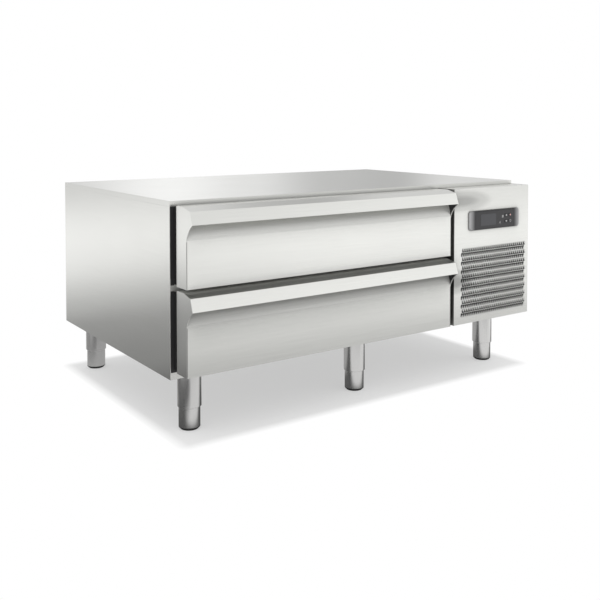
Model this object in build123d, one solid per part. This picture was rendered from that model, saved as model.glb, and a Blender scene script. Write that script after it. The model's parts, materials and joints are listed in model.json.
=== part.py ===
from build123d import *
from math import cos, radians, sin
import os

os.makedirs("parts", exist_ok=True)

# Chef base freezer: a low stainless counter with two full-width drawers on six round legs.
# X runs along the width, Y from the front (negative) to the back, Z up from the floor.
# The origin is on the floor, below the middle of the overall box. Millimetres.

# Casing
width = 1200.0                # over the side panels
body_depth = 724.0            # front edge of the side panels to the back panel
top_height = 573.0            # floor to worktop
leg_height = 145.0            # floor to the underside of the base
sheet = 1.2                   # stainless sheet
worktop_edge = 13.0           # turned-down edge of the worktop
edge_return = 12.0            # inward returns of the casing panels
fit_gap = 0.1                 # between pieces that are pushed together
strip_gap = 2.0               # front flange of the base to the drawer fronts
screw_r = 4.0
screw_h = 2.0
screw_inset = 10.0
back_vent_w = 90.0
back_vent_h = 6.0
back_vent_pitch = 16.0
back_vent_rows = 10
back_vent_low = 60.0          # lowest back slot above the base

# Insulated chamber
wall_side = 50.0
wall_top = 40.0
wall_bottom = 45.0
wall_back = 55.0
partition_t = 55.0
liner_sheet = 1.0
liner_cove = 12.0
breaker_t = 10.0              # depth of the front thermal break
mullion_h = 40.0
mullion_beam = 30.0
beam_round = 4.0

# Fronts
technical_w = 323.0           # width of the technical front
reveal_left = 9.0             # drawer front set in from the left side
reveal_right = 14.0           # gap between drawer fronts and technical front
partition_reveal = 4.0        # partition set in from the technical front
front_lift = 19.0             # fronts start this far above the base
front_rise = 3.0              # fronts end this far above the casing
drawer_gap = 9.0              # between the two drawer fronts
lower_front_h = 198.0
gasket_gap = 17.0
front_t = 51.0                # thickness of a drawer front
lip_out = 30.0                # handle lip in front of the drawer face

# Handle lip, measured down from the top of a drawer front
lip_flat = 36.0               # depth of the flat top
lip_slope = 8.0               # fall of the sloping top
lip_lean = 11.0               # the lip face leans out by this much
lip_h = 39.0                  # to the lower edge of the lip
lip_t = 7.4                   # thickness of the lip
pocket_top = 16.0             # to the roof of the finger pocket
pocket_depth = 11.0           # pocket behind the drawer face
scoop_end = 77.0              # to the foot of the scoop
web_t = 1.5                   # end webs
cap_t = 1.2                   # dark caps inside the webs
cap_recess = 2.0              # caps behind the front edge of the webs

# Gaskets
gasket_w = 12.0
gasket_inset = 3.0
gasket_neck = 7.0             # width of the bellows
gasket_base = 4.0             # depth of the push-in strip
gasket_head = 5.0             # depth of the magnet pocket
gasket_clear = 0.3            # to the frame it closes on

# Drawer tubs and telescopic runners
plug_depth = 6.0              # inner panel of a front, pressed towards the chamber
plug_margin = 14.0
tub_sheet = 1.2
tub_radius = 14.0
tub_clear = 5.0               # above the chamber floor and below its roof
tub_rim = 6.0
tub_back_gap = 14.0           # to the evaporator cover
runner_t = 12.5               # depth of the fixed member
runner_h = 45.0
runner_sheet = 1.5
runner_lip = 2.0
runner_play = 0.4
runner_len = 540.0
runner_start = 14.0           # behind the front plane
runner_lift = 17.0            # above the underside of the tub
tub_side_gap = 13.5           # chamber wall to tub

# Legs
leg_inset_x = 76.0
leg_inset_y = 50.0
leg_tube_r = 30.0
foot_r = 27.0
foot_show = 57.0              # lower tube in view
foot_room = 9.0               # above a foot inside its upper tube
foot_wall = 2.5
foot_play = 0.1
leg_cap_t = 4.0
foot_round = 5.0

# Technical front: vent field and controller
vent_w = 282.0
vent_rows = 16
vent_columns = 10
vent_right = 13.0             # vent field to the right side
vent_low = 20.0               # vent field above the lower edge of the front
vent_high = 50.0              # vent field below the controller
scale_wide = 0.8              # width of a punched scale, as a share of its column
scale_tall = 0.76             # height of a punched scale, as a share of its row
scale_out = 4.0               # mouth of a scale in front of the sheet
scale_wall = 0.78             # inside of a scale, as a share of its outside
bezel_w = 218.0
bezel_h = 57.0
bezel_right = 47.0            # bezel to the right side
bezel_top = 68.0              # bezel to the top of the front
bezel_t = 5.0
bezel_round = 9.0
controller_depth = 48.0
controller_rim = 4.0          # bezel over the upper and lower edges of the cut-out
controller_clear = 1.0        # controller body in the cut-out
window_w = 168.0
window_h = 50.0
window_t = 2.0
key_w = 12.0
key_h = 9.0
key_pitch_x = 18.0
key_pitch_z = 18.0
key_proud = 1.2
key_length = 6.0
key_play = 0.3
key_bevel = 0.5
key_well = 2.0                # free depth behind a key
key_inset = 17.0              # outer keys to the right end of the window

# Cooling unit behind the technical front
tray_sheet = 1.5
tray_gap = 1.0                # tray above the base
tray_margin = 12.0
tray_h = 20.0
coil_w = 250.0
coil_h = 220.0
coil_t = 45.0
coil_setback = 38.0           # coil behind the front plane
coil_fins = 16
header_r = 7.0                # upright tube at each end of a coil
slot_share = 0.6              # open part of a fin pitch, and depth of the slots
fan_r = 92.0
fan_tip_gap = 4.0
fan_hub_r = 24.0
fan_hub_l = 22.0
fan_blades = 5
blade_t = 1.6
blade_pitch = 28.0
blade_root = 0.7              # blade root, as a share of the hub radius
blade_chord = 0.75            # blade width at the root, as a share of the fan radius
blade_taper = 80.0
blade_sweep = 100.0
shroud_depth = 34.0
shroud_sheet = 1.5
shroud_lip = 12.0
motor_r = 32.0
motor_l = 48.0
motor_boss = 4.0
motor_setback = 20.0          # motor behind the shroud
arm_w = 10.0
arm_t = 2.0
arm_gap = 1.0                 # motor can to the arms of its bracket
shaft_r = 4.0
shaft_play = 0.05
shaft_l = 18.0
compressor_r = 82.0
compressor_h = 178.0
compressor_dome = 50.0
dome_steps = 3                # cones that make up the dome
compressor_heel = 14.0
compressor_setback = 330.0
belt_share = 0.55             # welded seam, as a share of the height
belt_h = 5.0
belt_out = 4.0
plate_t = 3.0
terminal_w = 60.0
terminal_h = 60.0
terminal_out = 26.0           # terminal box in front of the can
terminal_lift = 30.0
terminal_round = 8.0
stub_l = 12.0
stub_rise = 20.0              # pipe stubs above the seam
mount_h = 16.0
mount_r = 13.0
mount_taper = 3.0
mount_span = 62.0
mount_margin = 2.0
drier_r = 12.0
drier_l = 90.0
drier_gap = 50.0              # drier behind the compressor
drier_wall_gap = 2.0
pipe_r = 4.0
pipe_lift = 37.0              # pipes through the partition above the chamber floor
pipe_bend = 14.0
pipe_wall_gap = 10.0          # pipe centre to the partition
way_share = 3.2               # sleeve hole for two pipes, as a share of the pipe radius
pan_margin = 60.0             # evaporation tray to the walls beside it
pan_setback = 50.0            # evaporation tray to the back
pan_l = 190.0
pan_h = 34.0
pan_wall = 2.0
pan_round = 12.0
box_w = 190.0
box_d = 120.0
box_h = 90.0
box_round = 6.0
box_setback = 150.0
gland_x = 70.0                # gland to the right side
gland_z = 38.0                # gland above the base
gland_r = 11.0
gland_nut = 7.0
gland_neck = 10.0
gland_round = 3.0

# Evaporator at the back of the chamber
evap_depth = 95.0
evap_inset = 12.0             # cassette to the chamber walls
evap_side = 30.0              # length of the pipe sleeve beyond the partition
evap_fan_r = 62.0
evap_fan_x = 150.0            # fan centre to the right end of the cassette
evap_fan_setback = 6.0
evap_hub_r = 18.0
evap_motor_r = 24.0
evap_motor_gap = 8.0
evap_slot_h = 7.0
evap_slot_gap = 30.0          # between slots, and from the last one to the fan
evap_slot_pitch_z = 20.0
evap_slot_columns = 3
evap_slot_rows = 7
evap_slot_left = 45.0         # slots to the left end of the cassette
evap_slot_low = 60.0
evap_coil_gap = 22.0          # coil to the fan
evap_coil_h = 210.0
evap_coil_t = 60.0
evap_coil_inset = 26.0
evap_coil_lift = 10.0
evap_fins = 24

# Planes worked out from the sizes above
left = -width / 2
right = width / 2
overall_depth = body_depth + gasket_gap + front_t + lip_out + gland_nut + gland_neck
front = -overall_depth / 2 + lip_out + front_t + gasket_gap
back = front + body_depth
body_top = top_height - worktop_edge
rear_of_fronts = front - gasket_gap
face = rear_of_fronts - front_t
technical_left = right - technical_w
drawer_left = left + reveal_left
drawer_right = technical_left - reveal_right
drawer_w = drawer_right - drawer_left
partition_right = technical_left - partition_reveal
partition_left = partition_right - partition_t
front_bottom = leg_height + front_lift
front_top = body_top + front_rise
lower_front_top = front_bottom + lower_front_h
upper_front_bottom = lower_front_top + drawer_gap
mullion_mid = lower_front_top + drawer_gap / 2
mullion_low = mullion_mid - mullion_h / 2
mullion_high = mullion_mid + mullion_h / 2
chamber_left = left + wall_side
chamber_right = partition_left
chamber_low = leg_height + wall_bottom
chamber_high = body_top - wall_top
chamber_back = back - wall_back
pipe_z = chamber_low + pipe_lift
evap_front = chamber_back - evap_depth
evap_left = chamber_left + evap_inset
evap_right = chamber_right - evap_inset
evap_fan_mid = evap_right - evap_fan_x
evap_fan_left = evap_fan_mid - evap_fan_r - fan_tip_gap
evap_coil_left = evap_left + evap_coil_inset
evap_coil_right = evap_fan_left - evap_coil_gap
unit_x = (partition_right + right) / 2
fronts = {
    "upper": (upper_front_bottom, front_top, mullion_high, chamber_high),
    "lower": (front_bottom, lower_front_top, chamber_low, mullion_low),
}


def block(x0, x1, y0, y1, z0, z1):
    """A rectangular solid between two corners."""
    centre = Pos((x0 + x1) / 2, (y0 + y1) / 2, (z0 + z1) / 2)
    return centre * Box(x1 - x0, y1 - y0, z1 - z0)


def pan(corners, thickness, axis, mouth, radius):
    """A folded sheet pan: a block with rounded corners, hollow and open on one side."""
    solid = block(*corners)
    if radius > 0:
        solid = fillet(solid.edges().filter_by(axis), radius)
    ends = solid.faces().sort_by(axis)
    opening = ends[-1] if mouth > 0 else ends[0]
    return offset(solid, -thickness, openings=opening, kind=Kind.INTERSECTION)


def rod(x, y, z, radius, length, direction):
    """A round bar that starts at a point and runs along a direction."""
    return extrude(Plane((x, y, z), z_dir=direction) * Circle(radius), length)


def ring(x, y, z, outer, inner, length, direction):
    """A round tube that starts at a point."""
    section = Circle(outer) - Circle(inner)
    return extrude(Plane((x, y, z), z_dir=direction) * section, length)


def write(name, shape):
    """Write one named piece, or a group of identical ones, to its own file."""
    export_step(shape, "parts/" + name + ".step")


def group(*solids):
    """Several separate solids in one piece's file."""
    return Compound(children=list(solids))


def make_worktop():
    """Folded stainless top, open below, on a stiffening board."""
    top = pan((left, right, front, back, body_top, top_height), sheet, Axis.Z, -1, 0)
    board = block(left + sheet + fit_gap, right - sheet - fit_gap, front + sheet + fit_gap,
                  back - sheet - fit_gap, body_top, top_height - sheet)
    write("worktop", top)
    write("worktop_board", board)


def side_profile(sign):
    """Plan view of a side panel: a flat skin with a return along its back edge."""
    outer = sign * width / 2
    inner = outer - sign * sheet
    turned = outer - sign * edge_return
    return Polyline(
        (outer, front), (outer, back), (turned, back), (turned, back - sheet),
        (inner, back - sheet), (inner, front), close=True)


def make_side_panels():
    """Left and right outer skins."""
    for name, sign in (("side_panel_left", -1), ("side_panel_right", 1)):
        plan = Plane((0, 0, leg_height)) * make_face(side_profile(sign))
        write(name, extrude(plan, body_top - leg_height))


def slot(x, y, z, length, height):
    """A straight slot through a sheet, centred on its front face."""
    return block(x - length / 2, x + length / 2, y - sheet, y + 2 * sheet, z - height / 2, z + height / 2)


def back_vents(x0, x1):
    """Two columns of slots that let warm air out behind the compressor."""
    slots = []
    for column in (1 / 4, 3 / 4):
        x = x0 + (x1 - x0) * column
        for row in range(back_vent_rows):
            z = leg_height + back_vent_low + row * back_vent_pitch
            slots.append(slot(x, back - sheet, z, back_vent_w, back_vent_h))
    return slots


def make_back_panel():
    """Flat back between the returns of the sides, vented behind the cooling unit."""
    margin = edge_return + fit_gap
    skin = block(left + margin, right - margin, back - sheet, back, leg_height, body_top)
    write("back_panel", skin - back_vents(partition_right, right))
    inset = margin + screw_inset
    heads = []
    for x in (left + inset, 0, right - inset):
        for z in (leg_height + screw_inset, (leg_height + body_top) / 2, body_top - screw_inset):
            seat = Plane((x, back, z), z_dir=(0, 1, 0))
            heads.append(extrude(seat * RegularPolygon(screw_r, 6), screw_h))
    write("back_panel_screws", group(*heads))


def make_base_panel():
    """Folded bottom whose front flange is the light strip under the drawers."""
    flange = front_lift - strip_gap
    side_view = Polyline(
        (front, leg_height), (back - sheet, leg_height), (back - sheet, leg_height + sheet),
        (front + sheet, leg_height + sheet), (front + sheet, leg_height + flange),
        (front, leg_height + flange), close=True)
    profile = Plane((left + sheet, 0, 0), x_dir=(0, 1, 0), z_dir=(1, 0, 0)) * make_face(side_view)
    write("base_panel", extrude(profile, width - 2 * sheet))
    return leg_height + flange


def pipe_way():
    """Sleeve hole through the partition and the evaporator cover for the refrigerant pipes."""
    return rod(partition_left - evap_side, chamber_back - evap_depth / 2, pipe_z,
               way_share * pipe_r, partition_t + 2 * evap_side, (1, 0, 0))


def make_insulation():
    """Injected foam round the chamber, the insulated partition and the welded inner liner."""
    foam_front = front + breaker_t
    shell = block(left + sheet, chamber_right, foam_front, back - sheet, leg_height + sheet, body_top)
    hollow = block(chamber_left - liner_sheet, chamber_right, foam_front, chamber_back + liner_sheet,
                   chamber_low - liner_sheet, chamber_high + liner_sheet)
    returns = block(left, left + edge_return + fit_gap, back - 2 * sheet, back, leg_height, body_top)
    write("insulation_foam", shell - hollow - returns)
    wall = block(chamber_right + liner_sheet, partition_right, foam_front, back - sheet,
                 leg_height + sheet, body_top)
    write("partition_panel", wall - pipe_way())
    tub = block(chamber_left - liner_sheet, chamber_right + liner_sheet, foam_front,
                chamber_back + liner_sheet, chamber_low - liner_sheet, chamber_high + liner_sheet)
    tub = fillet(tub.edges().filter_by(Axis.Y), liner_cove)
    mouth = tub.faces().sort_by(Axis.Y)[0]
    liner = offset(tub, -liner_sheet, openings=mouth, kind=Kind.INTERSECTION)
    write("inner_liner", liner - pipe_way())


def make_breaker(strip_top):
    """Black thermal break round both drawer openings, and the steel rail between them."""
    outer_left, outer_right = left + sheet, partition_right
    upper = block(outer_left, outer_right, front, front + breaker_t, mullion_high, body_top)
    upper -= block(chamber_left, chamber_right, front, front + breaker_t, mullion_high, chamber_high)
    lower = block(outer_left, outer_right, front, front + breaker_t, strip_top, mullion_low)
    lower -= block(chamber_left, chamber_right, front, front + breaker_t, chamber_low, mullion_low)
    write("breaker_frame", group(upper, lower))
    rail = block(outer_left, outer_right, front, front + breaker_t, mullion_low, mullion_high)
    beam = block(chamber_left, chamber_right, front, front + breaker_t + mullion_beam,
                 mullion_low, mullion_high)
    beam = fillet(beam.edges().filter_by(Axis.X).sort_by(Axis.Y)[-2:], beam_round)
    core = block(chamber_left + sheet, chamber_right - sheet, front + sheet,
                 front + breaker_t + mullion_beam - sheet, mullion_low + sheet, mullion_high - sheet)
    write("mullion_rail", rail + beam - core)


def lip_points(top):
    """Corners of the handle lip in the side view, from the rear of the flat top to its lower edge."""
    crest = face - lip_out + lip_lean
    return [(rear_of_fronts - lip_flat, top), (crest, top - lip_slope), (face - lip_out, top - lip_h)]


def side_view(bottom, top, rear):
    """Side view of a drawer front with its lip, finger pocket and scoop."""
    lean = lip_lean / (lip_h - lip_slope)
    pocket_front = face - lip_out + lip_t + lean * (lip_h - pocket_top)
    pocket_back = face + pocket_depth
    crest = lip_points(top)
    outer = Polyline((rear, bottom), (rear, top), *crest, (face - lip_out + lip_t, top - lip_h),
                     (pocket_front, top - pocket_top), (pocket_back, top - pocket_top),
                     (pocket_back, top - lip_h))
    scoop = TangentArc((face, top - scoop_end), (pocket_back, top - lip_h), tangent=(0, 1))
    below = Polyline((face, top - scoop_end), (face, bottom), (rear, bottom))
    return make_face(outer + scoop + below)


def web_view(bottom, top):
    """Side view of an end web: its front edge curves from the lip down to the face."""
    curve = ThreePointArc((face - lip_out, top - lip_h), (face - lip_out / 3, top - (lip_h + scoop_end) / 2),
                          (face, top - scoop_end))
    rest = Polyline((face, top - scoop_end), (face, bottom), (rear_of_fronts, bottom),
                    (rear_of_fronts, top), *lip_points(top))
    return make_face(curve + rest)


def across(section, x0, x1):
    """A side view drawn in Y and Z, extruded along X."""
    return extrude(Plane((x0, 0, 0), x_dir=(0, 1, 0), z_dir=(1, 0, 0)) * section, x1 - x0)


def make_front(name, bottom, top):
    """Skin, foam core and end caps of a drawer front."""
    outer = side_view(bottom, top, rear_of_fronts)
    beyond = side_view(bottom, top, rear_of_fronts + front_t)
    inner = offset(beyond, -sheet, kind=Kind.INTERSECTION)
    skin = across(outer, drawer_left, drawer_right)
    skin -= across(inner, drawer_left + web_t, drawer_right - web_t)
    web = web_view(bottom, top)
    skin += across(web, drawer_left, drawer_left + web_t)
    skin += across(web, drawer_right - web_t, drawer_right)
    write(name + "_drawer_skin", skin)
    core = offset(beyond, -sheet - fit_gap, kind=Kind.INTERSECTION)
    foam = across(core, drawer_left + web_t + fit_gap, drawer_right - web_t - fit_gap)
    behind = block(left, right, rear_of_fronts - liner_sheet, back, leg_height, top_height)
    write(name + "_drawer_foam", foam - behind)
    cap = web & (Pos(cap_recess, 0) * web) - outer
    write(name + "_handle_caps", group(
        across(cap, drawer_left + web_t, drawer_left + web_t + cap_t),
        across(cap, drawer_right - web_t - cap_t, drawer_right - web_t)))


def make_inner_panel(name, bottom, top, low, high):
    """Rear sheet of a drawer front, pressed towards the chamber inside the gasket."""
    edge = sheet + fit_gap
    rear = rear_of_fronts
    flat = block(drawer_left + web_t + fit_gap, drawer_right - web_t - fit_gap,
                 rear - liner_sheet, rear, bottom + edge, top - edge)
    x0, x1 = chamber_left + plug_margin, chamber_right - plug_margin
    z0, z1 = low + plug_margin, high - plug_margin
    plug = block(x0, x1, rear - liner_sheet, rear + plug_depth, z0, z1)
    plug = fillet(plug.edges().filter_by(Axis.Y), plug_margin)
    plug = chamfer(plug.faces().sort_by(Axis.Y)[-1].edges(), plug_depth / 2)
    press = block(x0 + plug_depth, x1 - plug_depth, rear - liner_sheet, rear + plug_depth - liner_sheet,
                  z0 + plug_depth, z1 - plug_depth)
    write(name + "_inner_panel", flat + plug - press)


def gasket_ring(x0, x1, z0, z1, y0, y1, strip):
    """One depth of the gasket: a rectangular ring of a given strip width."""
    solid = block(x0, x1, y0, y1, z0, z1)
    return solid - block(x0 + strip, x1 - strip, y0, y1, z0 + strip, z1 - strip)


def make_gasket(name, bottom, top):
    """Magnetic gasket: push-in strip, narrow bellows and magnet pocket, all the way round."""
    x0, x1 = drawer_left + gasket_inset, drawer_right - gasket_inset
    z0, z1 = bottom + gasket_inset, top - gasket_inset - front_rise
    y0, y1 = rear_of_fronts, front - gasket_clear
    neck = (gasket_w - gasket_neck) / 2
    seal = gasket_ring(x0, x1, z0, z1, y0, y0 + gasket_base, gasket_w)
    seal += gasket_ring(x0 + neck, x1 - neck, z0 + neck, z1 - neck,
                        y0 + gasket_base, y1 - gasket_head, gasket_neck)
    seal += gasket_ring(x0, x1, z0, z1, y1 - gasket_head, y1, gasket_w)
    write(name + "_gasket", seal)


def make_tub(name, low, high):
    """Drawer tub: a pressed pan with coved corners and a rolled rim, on its runners."""
    x0, x1 = chamber_left + tub_side_gap, chamber_right - tub_side_gap
    y0, y1 = rear_of_fronts + plug_depth, evap_front - tub_back_gap
    z0, z1 = low + tub_clear, high - tub_clear
    body = block(x0, x1, y0, y1, z0, z1)
    body = fillet(body.edges().filter_by(Axis.Z), tub_radius)
    body = chamfer(body.faces().sort_by(Axis.Z)[0].edges(), tub_radius / 2)
    mouth = body.faces().sort_by(Axis.Z)[-1]
    tub = offset(body, -tub_sheet, openings=mouth, kind=Kind.INTERSECTION)
    rim = block(x0 - tub_rim, x1 + tub_rim, y0 + tub_rim + gasket_gap, y1, z1 - tub_sheet, z1)
    rim -= block(x0 + tub_sheet, x1 - tub_sheet, y0, y1 - tub_sheet, z1 - tub_sheet, z1)
    write(name + "_drawer_tub", tub + rim)
    return z0


def channel(x0, depth, z0, height, lip):
    """Section of a lipped channel that opens towards +X."""
    t = runner_sheet
    x1, z1 = x0 + depth, z0 + height
    turned = t + lip
    return make_face(Polyline(
        (x0, z0), (x1, z0), (x1, z0 + turned), (x1 - t, z0 + turned), (x1 - t, z0 + t),
        (x0 + t, z0 + t), (x0 + t, z1 - t), (x1 - t, z1 - t), (x1 - t, z1 - turned),
        (x1, z1 - turned), (x1, z1), (x0, z1), close=True))


def hat(x_foot, x_neck, x_web, z_foot, h_foot, h_web):
    """Section of the inner member: a foot held in the channel and a neck to the tub."""
    t = runner_sheet
    inset = (h_foot - h_web) / 2
    z1 = z_foot + h_foot
    return make_face(Polyline(
        (x_foot, z_foot), (x_neck, z_foot), (x_neck, z_foot + inset), (x_web, z_foot + inset),
        (x_web, z1 - inset), (x_neck, z1 - inset), (x_neck, z1), (x_foot, z1), (x_foot, z1 - t - inset),
        (x_web - t, z1 - t - inset), (x_web - t, z_foot + t + inset), (x_foot, z_foot + t + inset),
        close=True))


def along(section, y0, length):
    """A section drawn in X and Z, extruded towards the back."""
    return extrude(Plane((0, y0, 0), x_dir=(1, 0, 0), z_dir=(0, -1, 0)) * section, -length)


def both_sides(solid):
    """The solid and its mirror image about the middle of the chamber."""
    middle = Plane.YZ.offset((chamber_left + chamber_right) / 2)
    return [solid, mirror(solid, about=middle)]


def make_runners(name, tub_bottom):
    """Three-member telescopic runners: returns the fixed members, writes the moving ones."""
    z0 = tub_bottom + runner_lift
    step = runner_sheet + runner_play
    y0 = front + runner_start
    fixed = along(channel(chamber_left, runner_t, z0, runner_h, runner_lip), y0, runner_len)
    middle_x = chamber_left + step
    middle_w = runner_t - 2 * step
    middle = along(channel(middle_x, middle_w, z0 + step, runner_h - 2 * step, runner_lip), y0, runner_len)
    inner = along(hat(middle_x + step, middle_x + middle_w - step, chamber_left + tub_side_gap,
                      z0 + 2 * step, runner_h - 4 * step,
                      runner_h - 4 * step - 2 * runner_lip), y0, runner_len)
    write(name + "_runner_intermediate", group(*both_sides(middle)))
    write(name + "_runner_inner", group(*both_sides(inner)))
    return both_sides(fixed)


def make_drawers():
    """Both drawers, front to back, and the fixed runner members."""
    fixed = []
    for name, (bottom, top, low, high) in fronts.items():
        make_front(name, bottom, top)
        make_inner_panel(name, bottom, top, low, high)
        make_gasket(name, bottom, top)
        tub_bottom = make_tub(name, low, high)
        fixed += make_runners(name, tub_bottom)
    write("runner_outer_members", group(*fixed))


def leg_places():
    """Six leg centres: three along the front and three along the back."""
    places = []
    for row, y in (("front", front + leg_inset_y), ("back", back - leg_inset_y)):
        for column, x in (("left", left + leg_inset_x), ("middle", 0), ("right", right - leg_inset_x)):
            places.append((row + "_" + column, x, y))
    return places


def make_legs():
    """Upper tubes in one file, and each telescoping foot in its own."""
    bore = foot_r + foot_play
    tube = revolve(Plane.XZ * make_face(Polyline(
        (bore, foot_show), (leg_tube_r, foot_show), (leg_tube_r, leg_height), (0, leg_height),
        (0, leg_height - leg_cap_t), (bore, leg_height - leg_cap_t), close=True)), Axis.Z)
    inner = foot_r - foot_wall
    top = leg_height - leg_cap_t - foot_room
    foot = revolve(Plane.XZ * make_face(Polyline(
        (0, 0), (foot_r - foot_round, 0), (foot_r, foot_round), (foot_r, top), (inner, top),
        (inner, foot_round), (0, foot_round), close=True)), Axis.Z)
    write("leg_tubes", group(*[Pos(x, y, 0) * tube for _, x, y in leg_places()]))
    for name, x, y in leg_places():
        write("foot_" + name, Pos(x, y, 0) * foot)


def scale_form(x, z, way, half_w, out, height):
    """A pyramid that leans on the rear of the sheet, from its open mouth to its apex."""
    y = face + sheet
    mouth = Polyline((x - half_w, y, z), (x + half_w, y, z), (x, y - out, z), close=True)
    return loft([make_face(mouth), Vertex(x, y, z + way * height)])


def punched_scales(x0, x1, z0, z1):
    """Outsides and insides of the scales: staggered rows whose mouths face each other in pairs."""
    pitch_x = (x1 - x0) / (vent_columns + 0.5)
    pitch_z = (z1 - z0) / vent_rows
    half_w, height = pitch_x * scale_wide / 2, pitch_z * scale_tall
    outsides, insides = [], []
    for row in range(vent_rows):
        way = 1 - 2 * (row % 2)
        z = z0 + pitch_z * (row + 0.5) - way * height / 2
        for column in range(vent_columns):
            x = x0 + pitch_x * (column + 0.5 + 0.5 * (row % 2))
            outsides.append(scale_form(x, z, way, half_w, sheet + scale_out, height))
            insides.append(scale_form(x, z, way, half_w * scale_wall, (sheet + scale_out) * scale_wall,
                                      height * scale_wall))
    return outsides, insides


def make_technical_front():
    """Folded technical front with its field of punched scales and the controller cut-out."""
    x0, x1, z0, z1 = controller_area()
    panel = pan((technical_left, right, face, front, front_bottom, front_top), sheet, Axis.Y, 1, 0)
    vent_x1 = right - vent_right
    outsides, insides = punched_scales(vent_x1 - vent_w, vent_x1, front_bottom + vent_low, z0 - vent_high)
    panel = panel + outsides - insides
    panel -= block(x0 + bezel_round, x1 - bezel_round, face, face + 2 * sheet,
                   z0 + controller_rim, z1 - controller_rim)
    write("technical_front", panel)


def controller_area():
    """Left, right, lower and upper limits of the controller bezel."""
    x1 = right - bezel_right
    z1 = front_top - bezel_top
    return x1 - bezel_w, x1, z1 - bezel_h, z1


def key_places():
    """Key centres in the right part of the controller window."""
    x0, x1, z0, z1 = controller_area()
    right_key = (x0 + x1) / 2 + window_w / 2 - key_inset
    middle = (z0 + z1) / 2
    places = []
    for row, z in (("top", middle + key_pitch_z / 2), ("bottom", middle - key_pitch_z / 2)):
        for column, x in (("left", right_key - key_pitch_x), ("right", right_key)):
            places.append((row + "_" + column, x, z))
    return places


def key_prism(x, z, grow, y, length):
    """A key body, or the hole that it slides in."""
    plane = Plane((x, y, z), x_dir=(1, 0, 0), z_dir=(0, -1, 0))
    return extrude(plane * Rectangle(key_w + 2 * grow, key_h + 2 * grow), -length)


def make_controller():
    """Moulded controller body with its bezel, the dark window and four keys."""
    x0, x1, z0, z1 = controller_area()
    y_front = face - bezel_t
    middle_x, middle_z = (x0 + x1) / 2, (z0 + z1) / 2
    plate = block(x0, x1, y_front, face, z0, z1)
    plate = fillet(plate.edges().filter_by(Axis.Y), bezel_round)
    plate = chamfer(plate.faces().sort_by(Axis.Y)[0].edges(), bezel_t / 2)
    side, rim = bezel_round + controller_clear, controller_rim + controller_clear
    body = block(x0 + side, x1 - side, face, face + controller_depth, z0 + rim, z1 - rim)
    half_w, half_h = window_w / 2, window_h / 2
    seat = block(middle_x - half_w, middle_x + half_w, y_front, y_front + window_t,
                 middle_z - half_h, middle_z + half_h)
    bezel = plate + body - seat
    window = block(middle_x - half_w + fit_gap, middle_x + half_w - fit_gap, y_front, y_front + window_t,
                   middle_z - half_h + fit_gap, middle_z + half_h - fit_gap)
    key_end = window_t + key_length
    for name, x, z in key_places():
        bezel -= key_prism(x, z, key_play, y_front, key_end + key_well)
        window -= key_prism(x, z, key_play, y_front, window_t)
        key = key_prism(x, z, 0, y_front - key_proud, key_end + key_proud)
        write("key_" + name, chamfer(key.faces().sort_by(Axis.Y)[0].edges(), key_bevel))
    write("controller_bezel", bezel)
    write("display_window", window)


def fan(x, y, z, radius, hub_r, hub_l):
    """Axial fan rotor with its hub on the Y axis, bored for the motor shaft."""
    hub = rod(x, y, z, hub_r, hub_l, (0, 1, 0))
    hub = chamfer(hub.faces().sort_by(Axis.Y)[0].edges(), hub_r / 6)
    root = hub_r * blade_root
    outline = Pos((root + radius) / 2, 0) * Trapezoid(radius - root, radius * blade_chord,
                                                      blade_taper, blade_sweep)
    blade = Rot(X=blade_pitch) * extrude(Plane.XZ * outline, blade_t / 2, both=True)
    blade &= rod(0, -hub_l, 0, radius, 2 * hub_l, (0, 1, 0))
    for index in range(fan_blades):
        hub += Pos(x, y + hub_l / 2, z) * (Rot(Y=index * 360 / fan_blades) * blade)
    return hub - rod(x, y + hub_l / 2, z, shaft_r + shaft_play, hub_l, (0, 1, 0))


def motor(x, y, z, radius, length, reach):
    """Small fan motor: can, end boss and shaft pointing to the front."""
    can = rod(x, y, z, radius, length, (0, 1, 0))
    can = chamfer(can.faces().sort_by(Axis.Y)[0].edges(), radius / 8)
    can += rod(x, y - motor_boss, z, radius / 3, motor_boss, (0, 1, 0))
    return can + rod(x, y - reach, z, shaft_r, reach, (0, 1, 0))


def finned_block(x0, x1, y0, y1, z0, z1, fins):
    """Coil pack: upright fins cut into the front of a block, with a header tube at each end."""
    pack = block(x0, x1, y0, y1, z0, z1)
    pitch = (x1 - x0) / fins
    slots = []
    for index in range(fins):
        x = x0 + pitch * (index + (1 - slot_share) / 2)
        slots.append(block(x, x + pitch * slot_share, y0, y0 + (y1 - y0) * slot_share, z0, z1))
    pack -= slots
    for x in (x0, x1):
        pack += rod(x, (y0 + y1) / 2, z0, header_r, z1 - z0, (0, 0, 1))
    return pack


def fan_bracket(y0, y1, z0, z1):
    """Two arms round a motor, from the shroud to a cross-piece behind the motor."""
    offset_x = motor_r + arm_gap + arm_w / 2
    middle = (z0 + z1) / 2
    bars = [block(unit_x - offset_x, unit_x + offset_x, y1 - arm_t, y1, middle - arm_w, middle + arm_w)]
    for x in (unit_x - offset_x, unit_x + offset_x):
        x0, x1 = x - arm_w / 2, x + arm_w / 2
        bars.append(block(x0, x1, y1 - arm_t, y1, z0, z1))
        bars.append(block(x0, x1, y0, y1, z1 - arm_t, z1))
        bars.append(block(x0, x1, y0, y1, z0, z0 + arm_t))
    return bars


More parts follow.
